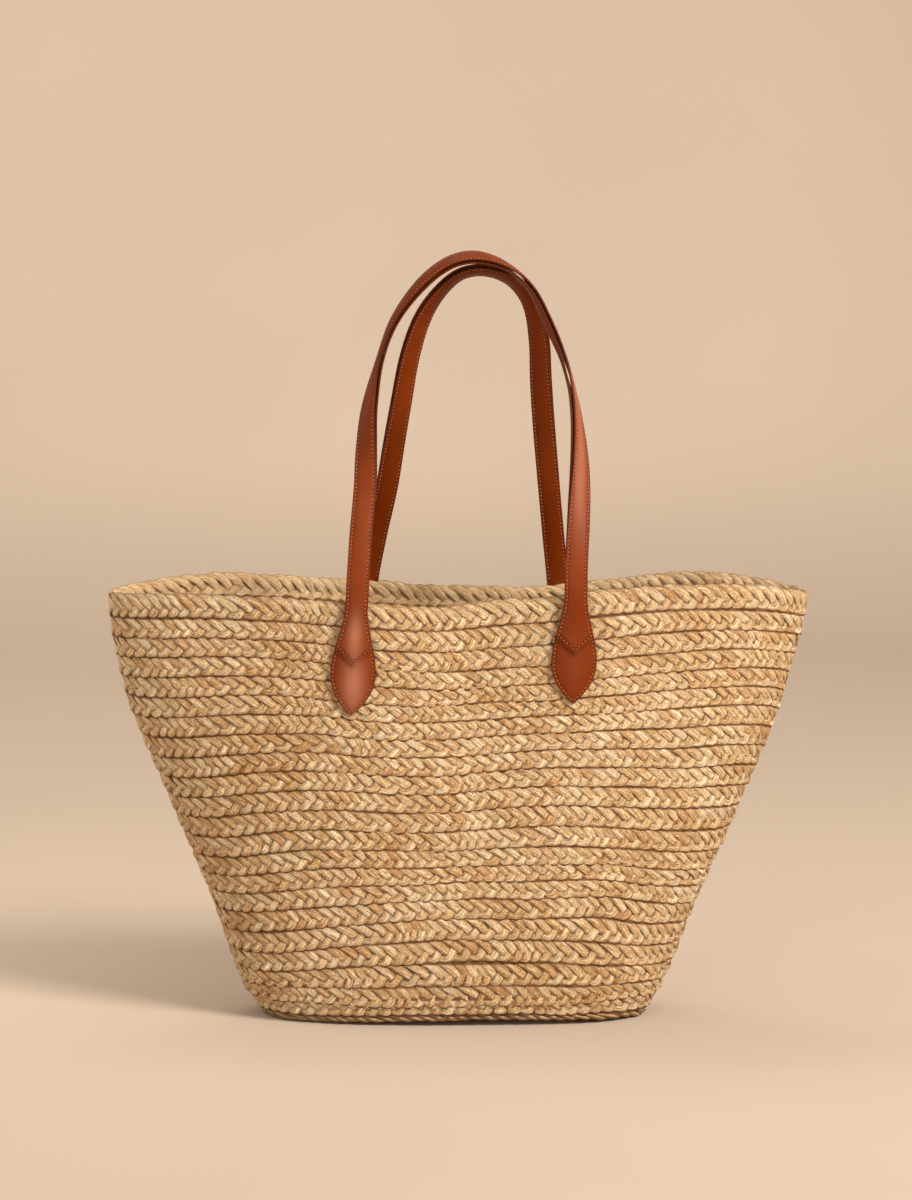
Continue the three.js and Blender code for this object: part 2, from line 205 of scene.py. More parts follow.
def makeMesh(name, points, quads, material, caps=(), values=None):
    # one mesh from arrays: points, quads, closing faces, and named numbers for each point
    sizes = [4] * len(quads) + [len(cap) for cap in caps]
    corners = np.concatenate([np.ravel(quads), *[np.asarray(cap) for cap in caps]]).astype(np.int32)
    starts = np.concatenate([[0], np.cumsum(sizes)[:-1]]).astype(np.int32)
    mesh = bpy.data.meshes.new(name)
    mesh.vertices.add(len(points))
    mesh.vertices.foreach_set("co", np.ascontiguousarray(points, np.float32).ravel())
    mesh.loops.add(len(corners))
    mesh.loops.foreach_set("vertex_index", corners)
    mesh.polygons.add(len(sizes))
    mesh.polygons.foreach_set("loop_start", starts)
    for key, numbers in (values or {}).items():
        kind = "FLOAT_VECTOR" if numbers.ndim == 2 else "FLOAT"
        field = "vector" if numbers.ndim == 2 else "value"
        attribute = mesh.attributes.new(key, kind, "POINT")
        attribute.data.foreach_set(field, np.ascontiguousarray(numbers, np.float32).ravel())
    mesh.update(calc_edges=True)
    mesh.validate()
    mesh.polygons.foreach_set("use_smooth", np.ones(len(mesh.polygons), bool))
    mesh.materials.append(material)
    piece = bpy.data.objects.new(name, mesh)
    bpy.context.scene.collection.objects.link(piece)
    return piece


def gridQuads(rows, columns, closedRows, closedColumns, start=0):
    # faces of a grid of points, joined round where it is closed
    r = np.arange(rows if closedRows else rows - 1)[:, None]
    c = np.arange(columns if closedColumns else columns - 1)[None, :]
    nextR, nextC = (r + 1) % rows, (c + 1) % columns
    corner = lambda a, b: np.broadcast_to(a * columns + b, (len(r), c.shape[1]))
    faces = np.stack([corner(r, c), corner(r, nextC), corner(nextR, nextC), corner(nextR, c)], -1)
    return faces.reshape(-1, 4) + start


# Materials

def newMaterial(name):
    material = bpy.data.materials.new(name)
    material.use_nodes = True
    tree = material.node_tree
    return material, tree, tree.nodes["Principled BSDF"]


def setInputs(tree, node, inputs):
    # links sockets to a node's inputs, and writes plain values into them
    for key, value in inputs.items():
        if isinstance(value, bpy.types.NodeSocket):
            tree.links.new(value, node.inputs[key])
        else:
            node.inputs[key].default_value = value


def addNode(tree, kind, inputs=None, **settings):
    node = tree.nodes.new("ShaderNode" + kind)
    for key, value in settings.items():
        setattr(node, key, value)
    setInputs(tree, node, inputs or {})
    return node


def colourRamp(tree, factor, stops):
    ramp = addNode(tree, "ValToRGB", {"Fac": factor})
    while len(ramp.color_ramp.elements) < len(stops):
        ramp.color_ramp.elements.new(0.5)
    for element, (place, colour) in zip(ramp.color_ramp.elements, stops):
        element.position = place
        element.color = (*colour, 1)
    return ramp.outputs["Color"]


def numberMath(tree, kind, a, b, clamp=False):
    node = addNode(tree, "Math", {0: a, 1: b}, operation=kind, use_clamp=clamp)
    return node.outputs["Value"]


def mixColour(tree, factor, a, b):
    # a and b blended, where b may also be a plain colour
    node = addNode(tree, "Mix", {0: factor, 6: a}, data_type="RGBA")
    setInputs(tree, node, {7: b if isinstance(b, bpy.types.NodeSocket) else (*b, 1)})
    return node.outputs[2]


def sums(tree):
    # times, minus and plus for the values of one node tree
    def times(a, b, clamp=False):
        return numberMath(tree, "MULTIPLY", a, b, clamp)

    def minus(a, b, clamp=False):
        return numberMath(tree, "SUBTRACT", a, b, clamp)

    def plus(*values):
        total = values[0]
        for value in values[1:]:
            total = numberMath(tree, "ADD", total, value)
        return total

    return times, minus, plus


def pointValue(tree, name, output="Fac"):
    # a named number that the mesh holds for each point
    return addNode(tree, "Attribute", attribute_name=name).outputs[output]


def objectPlace(tree):
    return addNode(tree, "TexCoord").outputs["Object"]


def noiseAt(tree, place, scale, detail, roughness=0.5):
    settings = {"Vector": place, "Scale": scale, "Detail": detail, "Roughness": roughness}
    return addNode(tree, "TexNoise", settings).outputs["Fac"]


def noiseColour(tree, scale, detail, *stops):
    # colours blended by a noise over the object
    return colourRamp(tree, noiseAt(tree, objectPlace(tree), scale, detail), stops)


def easedRange(tree, value, low, high, start=0.0, end=1.0, kind="SMOOTHSTEP"):
    # start below low, end above high, eased between
    settings = {"Value": value, "From Min": low, "From Max": high, "To Min": start, "To Max": end}
    return addNode(tree, "MapRange", settings, interpolation_type=kind).outputs["Result"]


def newGroup(name, colours, numbers=()):
    # a surface's group: colours and numbers go in, and colour, height and roughness come out
    group = bpy.data.node_groups.new(name, "ShaderNodeTree")
    for key in colours:
        group.interface.new_socket(name=key, in_out="INPUT", socket_type="NodeSocketColor")
    for key in numbers:
        group.interface.new_socket(name=key, in_out="INPUT", socket_type="NodeSocketFloat")
    group.interface.new_socket(name="Colour", in_out="OUTPUT", socket_type="NodeSocketColor")
    for key in ("Height", "Roughness"):
        group.interface.new_socket(name=key, in_out="OUTPUT", socket_type="NodeSocketFloat")
    return group, group.nodes.new("NodeGroupInput"), group.nodes.new("NodeGroupOutput")


# Dried leaf. The first five are noise scales and details. The ranges say how far each noise moves
# the tone, and the shares how strongly each mark shows.
husk = {
    "streak": (1700, 170, 4.0),
    "broad": (420, 60, 2.0),
    "line": (760, 90, 2.0),
    "fleck": (1300.0, 2.0),
    "blotch": (14.0, 3.0),
    "fibreRoughness": 0.6,
    "creaseSharpness": 9.0,
    "toneRange": 0.36,
    "broadRange": 0.6,
    "blotchRange": 0.5,
    "fleckRange": 2.3,
    "warmAbove": 0.93,
    "warmShare": 0.15,
    "warm": (0.62, 0.26, 0.10),
    "greenBelow": 0.08,
    "greenShare": 0.12,
    "green": (0.42, 0.36, 0.14),
    # painted light: the strands' side that faces into the bag is made paler
    "innerShare": 0.5,
    "inner": (0.88, 0.60, 0.32),
    # painted shade in the leaves' creases
    "creaseShare": 0.4,
    "crease": (0.24, 0.10, 0.024),
    # painted shade at each leaf's sides, where it meets the next one, less on the inside
    "edgeShare": 1.05,
    "edgeShadeLessInside": 0.6,
    "edge": (0.12, 0.042, 0.008),
    # painted shade in the lines where two rows meet
    "seamShadeBelow": (0.06, 0.0),
    "seamShadeAbove": (0.94, 1.03),
    "seamShadeShare": 0.9,
    "seam": (0.15, 0.052, 0.011),
    "streakHeight": 0.5,
    "broadHeight": 0.4,
    "creaseHeight": 0.3,
    "fleckHeight": 0.5,
    "roughness": 0.38,
    "broadRoughness": 0.35,
    "bump": {"Strength": 1.0, "Distance": 0.0013},
    "specular": 0.18,
}


def huskGroup():
    # tone = 0.5 + each noise less its middle, times its range; 0 is pale, 0.5 golden and 1 brown.
    # Then warm and green leaves, painted light on the side that faces into the bag, painted shade
    # in the creases and at the leaves' edges, and painted shade in the lines where two rows meet.
    group, given, result = newGroup("huskLeaf", ["Pale", "Golden", "Brown"], ["Contrast"])
    times, minus, plus = sums(group)
    fibre = pointValue(group, "fibre", "Vector")
    tone, rim, inner, groove = [pointValue(group, key) for key in ("tone", "rim", "inner", "groove")]
    place = objectPlace(group)

    def fibreNoise(acrossScale, alongScale, detail):
        settings = {"Vector": fibre, "Scale": (acrossScale, alongScale, 1)}
        stretched = addNode(group, "Mapping", settings).outputs["Vector"]
        return noiseAt(group, stretched, 1.0, detail, husk["fibreRoughness"])

    def centred(value, size):
        return times(minus(value, 0.5), size)

    streak, broad, line = [fibreNoise(*husk[key]) for key in ("streak", "broad", "line")]
    fleck, blotch = [noiseAt(group, place, *husk[key]) for key in ("fleck", "blotch")]
    # crease lines: a bump, and painted shade in the colour
    nearLine = numberMath(group, "ABSOLUTE", centred(line, husk["creaseSharpness"]), 0.0)
    crease = minus(1.0, nearLine, True)
    shade = plus(
        centred(tone, husk["toneRange"]),
        centred(streak, given.outputs["Contrast"]),
        centred(broad, husk["broadRange"]),
        plus(centred(blotch, husk["blotchRange"]), 0.5),
        centred(fleck, husk["fleckRange"]),
    )
    lightShare = times(shade, 2.0, True)
    darkShare = minus(times(shade, 2.0), 1.0, True)
    colour = mixColour(group, lightShare, given.outputs["Pale"], given.outputs["Golden"])
    colour = mixColour(group, darkShare, colour, given.outputs["Brown"])
    warm = numberMath(group, "GREATER_THAN", tone, husk["warmAbove"])
    green = numberMath(group, "LESS_THAN", tone, husk["greenBelow"])
    # warm and green are the straw's own tones; inner is painted light on the side facing into the bag, crease
    # is painted shade in the creases
    for share, key in ((warm, "warm"), (green, "green"), (inner, "inner"), (crease, "crease")):
        colour = mixColour(group, times(share, husk[f"{key}Share"]), colour, husk[key])
    # painted shade at the leaves' edges
    edgeShare = minus(husk["edgeShare"], times(inner, husk["edgeShadeLessInside"]))
    colour = mixColour(group, times(rim, edgeShare, True), colour, husk["edge"])
    # painted shade in the lines where two rows meet
    below, above = [easedRange(group, groove, *husk[key]) for key in ("seamShadeBelow", "seamShadeAbove")]
    seam = numberMath(group, "MAXIMUM", below, above)
    colour = mixColour(group, times(seam, husk["seamShadeShare"]), colour, husk["seam"])
    streakHeight = times(streak, husk["streakHeight"])
    height = plus(streakHeight, times(broad, husk["broadHeight"]))
    height = minus(height, times(crease, husk["creaseHeight"]))
    height = plus(height, times(fleck, husk["fleckHeight"]))
    roughness = plus(times(broad, husk["broadRoughness"]), husk["roughness"])
    setInputs(group, result, {"Colour": colour, "Height": height, "Roughness": roughness})
    return group


hide = {
    "poreScale": 900.0,
    "grain": (420.0, 4.0, 0.65),
    "tones": (26.0, 3.0),
    "tonesRange": 1.2,
    "grainRange": 0.35,
    "lessWorn": 0.45,
    "poreHeight": 0.5,
    "roughness": 0.32,
    "grainRoughness": 0.2,
    "bump": {"Strength": 0.25, "Distance": 0.0004},
    "specular": 0.08,
}


def hideGroup():
    # leather: broad tones and fine grain, each times its range, less an even amount, then paler
    # spots of painted sheen, a darker painted edge with painted shade along the seam and V, and pores
    group, given, result = newGroup("leatherHide", ["Hide", "Worn", "Sheen", "Paint"])
    times, minus, plus = sums(group)
    place = objectPlace(group)
    pores = addNode(group, "TexVoronoi", {"Vector": place, "Scale": hide["poreScale"]})
    grain, tones = [noiseAt(group, place, *hide[key]) for key in ("grain", "tones")]
    tonesShare = times(tones, hide["tonesRange"])
    share = plus(tonesShare, times(grain, hide["grainRange"]))
    share = minus(share, hide["lessWorn"], True)
    colour = mixColour(group, share, given.outputs["Hide"], given.outputs["Worn"])
    colour = mixColour(group, pointValue(group, "paintedSheen"), colour, given.outputs["Sheen"])
    # real edge paint, with painted shade in the stitch channel and the V
    colour = mixColour(group, pointValue(group, "edge"), colour, given.outputs["Paint"])
    height = plus(times(pores.outputs["Distance"], hide["poreHeight"]), grain)
    roughness = plus(times(grain, hide["grainRoughness"]), hide["roughness"])
    setInputs(group, result, {"Colour": colour, "Height": height, "Roughness": roughness})
    return group


def surfaceMaterial(name, group, look, given):
    # a material that gets its colour, roughness and bump from a group
    material, tree, shader = newMaterial(name)
    surface = addNode(tree, "Group", node_tree=group)
    setInputs(tree, surface, given)
    bump = addNode(tree, "Bump", {"Height": surface.outputs["Height"], **look["bump"]})
    setInputs(tree, shader, {
        "Base Color": surface.outputs["Colour"],
        "Roughness": surface.outputs["Roughness"],
        "Normal": bump.outputs["Normal"],
        "Specular IOR Level": look["specular"],
    })
    return material


def paintedShadeMaterial():
    # painted shade: a dark sheet for the braid's shaded inside, seen only through its gaps, with paler
    # painted shade on the face towards the bag's inside
    material, tree, shader = newMaterial("strawShade")
    colour = noiseColour(tree, 180.0, 3.0, (0.3, (0.15, 0.064, 0.018)), (0.7, (0.32, 0.155, 0.052)))
    colour = mixColour(tree, pointValue(tree, "inner"), colour, (0.72, 0.42, 0.17))
    setInputs(tree, shader, {"Base Color": colour, "Roughness": 0.9})
    return material


def threadMaterial():
    # waxed thread, mottled between two browns
    material, tree, shader = newMaterial("waxedThread")
    colour = noiseColour(tree, 500.0, 2.0, (0.35, (0.24, 0.055, 0.016)), (0.65, (0.42, 0.13, 0.05)))
    setInputs(tree, shader, {"Base Color": colour, "Roughness": 0.5})
    return material


huskLeaf = huskGroup()
leatherHide = hideGroup()
strawWall = surfaceMaterial("strawWall", huskLeaf, husk, {
    "Pale": (1.0, 0.85, 0.61, 1),
    "Golden": (0.79, 0.525, 0.26, 1),
    "Brown": (0.44, 0.215, 0.068, 1),
    "Contrast": 2.5,
})
strawBase = surfaceMaterial("strawBase", huskLeaf, husk, {
    "Pale": (0.97, 0.80, 0.55, 1),
    "Golden": (0.77, 0.50, 0.245, 1),
    "Brown": (0.43, 0.21, 0.066, 1),
    "Contrast": 2.4,
})
strawShade = paintedShadeMaterial()
# Sheen is a painted highlight on the paler spots; Paint is the dark edge paint, also laid as painted shade in
# the stitch channel and the V
leatherMarks = {"Sheen": (0.60, 0.25, 0.15, 1), "Paint": (0.09, 0.016, 0.004, 1)}
handleLeather = surfaceMaterial("handleLeather", leatherHide, hide, {
    "Hide": (0.135, 0.018, 0.001, 1),
    "Worn": (0.235, 0.041, 0.003, 1),
    **leatherMarks,
})
liningLeather = surfaceMaterial("liningLeather", leatherHide, hide, {
    "Hide": (0.13, 0.018, 0.001, 1),
    "Worn": (0.22, 0.038, 0.003, 1),
    **leatherMarks,
})
waxedThread = threadMaterial()
print("materials made")


# Braid: four flat strands of dried leaf, laid in rows. Each one comes down over two others in
# a long leaf, and back up over one in a short steep leaf.

braid = {
    "strands": 4,
    "period": 0.0365,  # length in which a strand comes back to the same edge
    "swing": 0.0059,  # how far a strand's middle goes to each side
    "flatEdge": 1.5,  # above 1, its lower turn runs along the row's lower line
    "lift": 0.0013,  # how far it rises over and dives under the others
    "ridge": 0.0002,  # how much higher the leaf that comes down runs
    "sag": 0.0013,  # how far the middle crossing lies below the braid's middle
    "leafWidth": 0.0073,
    "leafThickness": 0.0021,
    "flatTop": 0.8,  # below 1, a leaf's section is flatter than an oval
    "edgeNarrow": 0.2,  # how much narrower and thicker a leaf is where it turns
    "edgeThick": 0.4,
    "leafStart": 0.14,  # where a leaf begins, in half turns after a crossing
    "halfWidth": 0.0080,  # of the whole braid
    "tilt": 0.0010,  # how far a row's lower edge stands out past its middle
    "inset": 0.0028,  # braid's middle behind the basket's outer outline
    "wander": 0.0004,  # how far a row strays from its even line
    "uneven": 0.10,  # how far the plait runs ahead or behind, in periods
    "sides": 10,
    "sections": 14,  # in each period
    "seed": 41,
}

# how far each leaf may differ from an even one, in shares, metres or radians
leafSpread = {
    "swing": (-0.07, 0.07),
    "aside": (-0.0003, 0.0003),
    "height": (-0.00025, 0.00035),
    "roll": (-0.2, 0.2),
    "width": (-0.12, 0.14),
    "thickness": (-0.15, 0.2),
    "crease": (-0.14, 0.12),
    "tone": (0, 1),
}

# share of the period, phase in quarter turns: 1 upper edge, 2 crossing down, 3 lower edge, 4 crossing up
plaitRows = np.array([[0.0, 1.0], [0.32, 2.0], [0.54, 3.0], [0.68, 4.0], [1.0, 5.0]])


def plaitTable():
    # phase against share of the period, with its corners rounded by a running mean
    fine = np.linspace(-1, 2, 1201)
    whole = np.floor(fine)
    phase = (np.interp(fine - whole, plaitRows[:, 0], plaitRows[:, 1]) + 4 * whole) * np.pi / 2
    meanOf = 49
    smooth = np.convolve(phase, np.ones(meanOf) / meanOf, "same")
    kept = (fine >= 0) & (fine <= 1)
    return fine[kept], smooth[kept]


plaitShare, plaitTurn = plaitTable()


def plaitPhase(turns):
    whole = np.floor(turns)
    return np.interp(turns - whole, plaitShare, plaitTurn) + 2 * np.pi * whole


def ringNoise(rng, share, waves, size):
    # smooth noise that closes round a ring: a sum of waves with random starts
    total = np.zeros_like(share)
    for number in waves:
        total = total + np.cos(2 * np.pi * (number * share + rng.uniform())) / np.sqrt(len(waves))
    return total * size


def braidRow(path, up, out, widening, tilt, rowHeight, seed):
    # path, up, out and widening are functions of the share round a closed row. With p as the
    # plait's phase, a strand runs at swing*sin(p) - sag*cos(p)^2 up, its lower turn flattened,
    # and at -lift*sin(2p) - ridge*cos(p) out. Its section is a flat oval with creases, narrower
    # and thicker at the braid's edges.
    b = braid
    rng = np.random.default_rng(seed)
    fine = np.linspace(0, 1, 2049)
    length = runAlong(path(fine))
    periods = max(1, round(length[-1] / b["period"]))
    mixed = 0.5 * plaitShare + 0.5 * (plaitTurn - plaitTurn[0]) / (2 * np.pi)
    sections = np.interp(np.arange(b["sections"]) / b["sections"], mixed, plaitShare)
    turns = (np.arange(periods)[:, None] + sections[None, :]).ravel()
    count = len(turns)
    startTurn = rng.uniform()
    seeds = rng.integers(0, 1 << 30, 3)
    theta = np.arange(b["sides"]) / b["sides"] * 2 * np.pi
    flatTop = np.sign(np.sin(theta)) * np.abs(np.sin(theta)) ** b["flatTop"]
    leafCount = 2 * periods
    points, quads, tones, fibres, rims, inners, grooves = [], [], [], [], [], [], []
    for strand in range(b["strands"]):
        even = (turns - strand / b["strands"] + startTurn) / periods
        noise = [np.random.default_rng(number) for number in seeds]
        waves = range(max(1, periods // 6), max(2, periods // 2) + 1)
        ahead = ringNoise(noise[0], even, waves, b["uneven"])
        place = (even + ahead / periods) % 1
        share = np.interp(place * length[-1], length, fine)
        rise, outward, widen = up(share), out(share), widening(share)
        wander = ringNoise(noise[1], place, range(3, 16, 2), b["wander"])
        bulge = ringNoise(noise[2], place, range(4, 30, 3), b["wander"] * 0.5)
        centre = path(share) + rise * wander[:, None] + outward * bulge[:, None]
        phase = plaitPhase(turns)
        leaf = phase / np.pi - b["leafStart"]
        leafIndex = np.floor(leaf).astype(int)
        leafShare = leaf - leafIndex

        def perLeaf(kind, smooth=True):
            # random number for each leaf, eased into the next one's
            numbers = rng.uniform(*leafSpread[kind], leafCount)
            here, after = numbers[leafIndex % leafCount], numbers[(leafIndex + 1) % leafCount]
            return blendBetween(here, after, smoothStep(0.0, 1.0, leafShare)) if smooth else here

        edge = np.abs(np.sin(phase)) ** 4
        upper = np.maximum(np.sin(phase), 0) * (1 + perLeaf("swing"))
        lower = 1 - (1 - np.maximum(-np.sin(phase), 0)) ** b["flatEdge"]
        across = b["swing"] * widen * (upper - lower) - b["sag"] * np.cos(phase) ** 2
        across = across + perLeaf("aside")
        height = -b["lift"] * np.sin(2 * phase) - b["ridge"] * np.cos(phase) + perLeaf("height")
        height = height - tilt * across / b["halfWidth"]
        line = centre + rise * across[:, None] + outward * height[:, None]
        along = unit(np.roll(line, -1, 0) - np.roll(line, 1, 0))
        flat = unit(outward - along * np.sum(outward * along, -1, keepdims=True))
        sideways = np.cross(along, flat)
        roll = perLeaf("roll")
        flatRolled = flat * np.cos(roll)[:, None] + sideways * np.sin(roll)[:, None]
        sideRolled = sideways * np.cos(roll)[:, None] - flat * np.sin(roll)[:, None]
        halfLeaf = b["leafWidth"] / 2 * (1 - b["edgeNarrow"] * edge) * (1 + perLeaf("width"))
        halfThick = b["leafThickness"] / 2 * (1 + b["edgeThick"] * edge) * (1 + perLeaf("thickness"))
        creases = np.stack([1 + perLeaf("crease") for _ in theta], -1)
        side = np.cos(theta)[None, :] * halfLeaf[:, None]
        depth = flatTop[None, :] * halfThick[:, None] * creases
        ring = line[:, None] + sideRolled[:, None] * side[..., None]
        ring = ring + flatRolled[:, None] * depth[..., None]
        start = sum(len(p) for p in points)
        points.append(ring.reshape(-1, 3))
        quads.append(gridQuads(count, b["sides"], True, True, start)[:, ::-1])
        tones.append(np.repeat(perLeaf("tone", False), b["sides"]))
        travelled = np.minimum(place, 1 - place) * length[-1]
        identity = rng.uniform(0, 50) + leafIndex % leafCount * 0.37
        fibre = np.stack(np.broadcast_arrays(side, travelled[:, None], identity[:, None]), -1)
        fibres.append(fibre.reshape(-1, 3))
        # leaf edges, for the painted shade at their sides
        rims.append(np.broadcast_to(np.abs(np.cos(theta)) ** 4, (count, b["sides"])).ravel())
        # inside half of each strand's section, where painted light makes it paler
        inner = smoothStep(-0.2, 0.6, -np.sin(theta))
        inners.append(np.broadcast_to(inner, (count, b["sides"])).ravel())
        # place across the row, for the painted shade where two rows meet
        above = np.sum((ring - centre[:, None]) * rise[:, None], -1) / widen[:, None]
        grooves.append(((above + b["halfWidth"]) / rowHeight).ravel())
    values = {"tone": tones, "fibre": fibres, "rim": rims, "inner": inners, "groove": grooves}
    return np.concatenate(points), np.concatenate(quads), {k: np.concatenate(v) for k, v in values.items()}


# groove: the row height that the painted shade at the row lines is measured against
topRow = {"widen": 0.87, "raise": 0.0004, "tilt": 0.4, "groove": 1.8}
plainRow = {"widen": 1.0, "raise": 0.0, "tilt": 1.0, "groove": 1.0}


def wallRow(row):
    # a row's middle lies half a braid above its lower line, on the wall's slope
    form = topRow if row == 1 else plainRow
    height = basket["rimHeight"] - basket["foot"]
    spacing = height / (basket["rowCount"] + basket["topRowExtra"])

    def widening(share):
        # how far the row's two lines are apart, against an even row
        angle = 2 * np.pi * share
        apart = (rowLevel(row - 1, angle) - rowLevel(row, angle)) * height / spacing
        return np.clip(apart, 0.85, 1.3) * form["widen"]

    def surface(share, lift=0.0):
        angle = 2 * np.pi * share
        middle = braid["halfWidth"] * widening(share) + form["raise"]
        return wallPoint(angle, rowLevel(row, angle) + (middle + lift) / height)

    def out(share):
        along = surface(share + 1e-4) - surface(share - 1e-4)
        upward = surface(share, 1e-3) - surface(share, -1e-3)
        return unit(np.cross(along, upward))

    def up(share):
        along = surface(share + 1e-4) - surface(share - 1e-4)
        return unit(np.cross(out(share), along))

    def path(share):
        return surface(share) - out(share) * braid["inset"]

    tilt, rowHeight = braid["tilt"] * form["tilt"], spacing * form["groove"]
    return braidRow(path, up, out, widening, tilt, rowHeight, braid["seed"] + row)


lifted = {"height": 0.0035, "across": 0.02, "reach": 0.1, "upTo": 0.06}


def liftFront(points):
    # the front's lowest rows stand a little off the floor in the middle
    x, y, z = points[:, 0], points[:, 1], points[:, 2]
    share = np.exp(-(((x - lifted["across"]) / lifted["reach"]) ** 2)) * smoothStep(0, 0.04, -y)
    points[:, 2] = z + lifted["height"] * share * (1 - smoothStep(0, lifted["upTo"], z))


def joinRows(name, rowList, material, slot, *nodes):
    # one piece from several braids
    starts = np.cumsum([0] + [len(points) for points, _, _ in rowList])
    points = np.concatenate([row[0] for row in rowList])
    liftFront(points)
    quads = np.concatenate([row[1] + start for row, start in zip(rowList, starts)])
    values = {key: np.concatenate([row[2][key] for row in rowList]) for key in rowList[0][2]}
    piece = makeMesh(name, points, quads, material, values=values)
    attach(piece, "root")
    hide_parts(*nodes)
    print(name, len(piece.data.polygons) * 2, "triangles")


wallSplit = [(1, 5), (6, 10), (11, 16), (17, 22)]
for number, (first, last) in enumerate(wallSplit, 1):
    rowList = [wallRow(row) for row in range(first, last + 1)]
    joinRows(f"wall_braid_{number}", rowList, strawWall, "straw_wall", "basket_wall")


# Base: the same braid in oval rings, lying flat

baseMat = {
    "ringCount": 4,
    "pitch": 0.0135,
    "middleHeight": 0.0028,
    "inset": 0.0024,
    # the ring height that the painted shade at the ring lines is measured against, in pitches
    "groove": 1.35,
    "seed": 100,
}


def baseRing(number):
    # rings of the foot's outline, each one pitch further in
    halfWidth, halfDepth, power, shift = [float(x) for x in outlineAt(np.array(0.0))]
    inward = braid["halfWidth"] + baseMat["inset"] + baseMat["pitch"] * number

    def path(share):
        angle = 2 * np.pi * share
        c, s = np.cos(angle), np.sin(angle)
        roundness = blendBetween(power, 2.0, number / baseMat["ringCount"])
        x = shift + (halfWidth - inward) * np.sign(c) * np.abs(c) ** (2 / roundness)
        y = (halfDepth - inward) * np.sign(s) * np.abs(s) ** (2 / roundness)
        return np.stack([x, y, np.full_like(x, baseMat["middleHeight"])], -1)

    def out(share):
        return np.broadcast_to([0.0, 0.0, -1.0], (len(share), 3))

    def up(share):
        along = path(share + 1e-4) - path(share - 1e-4)
        return unit(np.cross(out(share), along)) * np.array([1, 1, 0])

    rowHeight = baseMat["pitch"] * baseMat["groove"]
    return braidRow(path, up, out, np.ones_like, 0.0, rowHeight, braid["seed"] + baseMat["seed"] + number)


baseRows = [baseRing(number) for number in range(baseMat["ringCount"])]
joinRows("base_braid", baseRows, strawBase, "straw_base", "basket_base")


# Painted shade: a thin shell inside the wall's braid, dark outside and paler inside

shade = {"depth": 0.0024, "thickness": 0.0006, "columns": 160, "levels": 36, "reach": (0.015, 0.985)}


def shadeWall():
    # closed shell between two insets of the wall's outline
    angle = 2 * np.pi * np.arange(shade["columns"]) / shade["columns"]
    loops = []
    levels = np.linspace(*shade["reach"], shade["levels"])
    for inset, order in ((shade["depth"], levels), (shade["depth"] + shade["thickness"], levels[::-1])):
        for level in order:
            here = wallPoint(angle, np.full_like(angle, level))
            ahead = wallPoint(angle + 1e-3, np.full_like(angle, level))
            behind = wallPoint(angle - 1e-3, np.full_like(angle, level))
            along = unit(ahead - behind)
            outward = unit(np.cross(along, np.array([0.0, 0.0, 1.0])))
            loops.append(here - outward * inset)
    points = np.array(loops)
    quads = gridQuads(len(loops), shade["columns"], True, True)
    # the inner face gets the paler painted shade
    inner = np.repeat(np.arange(len(loops)) >= len(levels), shade["columns"]).astype(float)
    piece = makeMesh("wall_shade", points.reshape(-1, 3), quads, strawShade, values={"inner": inner})
    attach(piece, "root")


shadeWall()
print("basket made")


# Handles: two leather layers each, following the wall at their tabs and free above the rim

strap = {
    "spacing": 0.155,
    "rise": 0.240,
    "width": 0.016,
    "leather": 0.0016,
    "lining": 0.0014,
    "gap": 0.0012,
    "tabWidth": 0.032,
    "tabDrop": 0.078,
    "tabRound": 0.030,
    "tabTaper": 0.047,
    "tabPoint": 2.2,
    "liningStart": 0.038,
    "liningPoint": 0.013,
    "liningRamp": 0.005,
    "archMargin": 0.0012,
    "leanPower": 1.35,
    "freeHeight": 0.018,
    "step": 0.0022,
    "edgeRound": 0.0006,
    "edgeShare": 0.45,  # thickness at the very edge, in shares of the full one
    "underRound": 0.0004,
    "underShare": 0.35,
    "channel": 0.0019,  # stitch line from the edge
    "channelDepth": 0.00028,
    "channelWidth": 0.0006,
    "dome": 0.0015,
    "veeReach": 0.0106,  # how far to each side the stitched V goes
    "veeRise": 0.0092,
    "veeStart": 0.0005,  # how far its point lies past the lining's
    "veeDepth": 0.0007,
    "veeWidth": 0.0009,
}

# tip and rim: the centre line's places across, in shares of half the spacing
tabPlaces = {
    "front": {"left": (-0.972, -0.916), "right": (1.041, 1.066)},
    "back": {"left": (-0.946, -0.862), "right": (1.01, 0.952)},
}

# across, up, turn: the arch from left to right, in shares and degrees
archRows = {
    "front": [
        (-0.88, 0.19, 0), (-0.839, 0.33, 10), (-0.817, 0.455, 36), (-0.786, 0.56, 57), (-0.688, 0.698, 82),
        (-0.554, 0.812, 78), (-0.315, 0.916, 69), (-0.075, 0.976, 67), (0.152, 0.993, 68), (0.41, 0.969, 80),
        (0.627, 0.912, 95), (0.78, 0.82, 103), (0.935, 0.705, 95), (1.022, 0.602, 82), (1.067, 0.5, 66),
        (1.09, 0.38, 42), (1.088, 0.25, 16), (1.072, 0.11, 0),
    ],
    "back": [
        (-0.785, 0.14, 0), (-0.668, 0.303, 8), (-0.59, 0.439, 22), (-0.512, 0.573, 31), (-0.434, 0.7, 39),
        (-0.322, 0.808, 50), (-0.177, 0.883, 62), (0.022, 0.941, 69), (0.245, 0.954, 70), (0.482, 0.927, 66),
        (0.655, 0.865, 50), (0.735, 0.76, 36), (0.762, 0.63, 24), (0.797, 0.5, 12), (0.846, 0.34, 4),
        (0.902, 0.16, 0),
    ],
}


def strapDepth(side, x, z, lift):
    # on the wall's outer surface below the rim, then leaning in to the arch
    rim = rimHeight(side, x / (basket["rimWidth"] / 2))
    level = np.clip((z - basket["foot"]) / (rim - basket["foot"]), 0, 1)
    halfWidth, _, _, shift = outlineAt(level)
    wall = wallDepth(side, (x - shift) / halfWidth, level) + lift
    climb = np.clip((z - rim) / strap["rise"], 0, 1)
    lean = np.sin(climb * np.pi / 2) ** strap["leanPower"]
    return blendBetween(wall, strap["width"] / 2 + strap["archMargin"], lean)


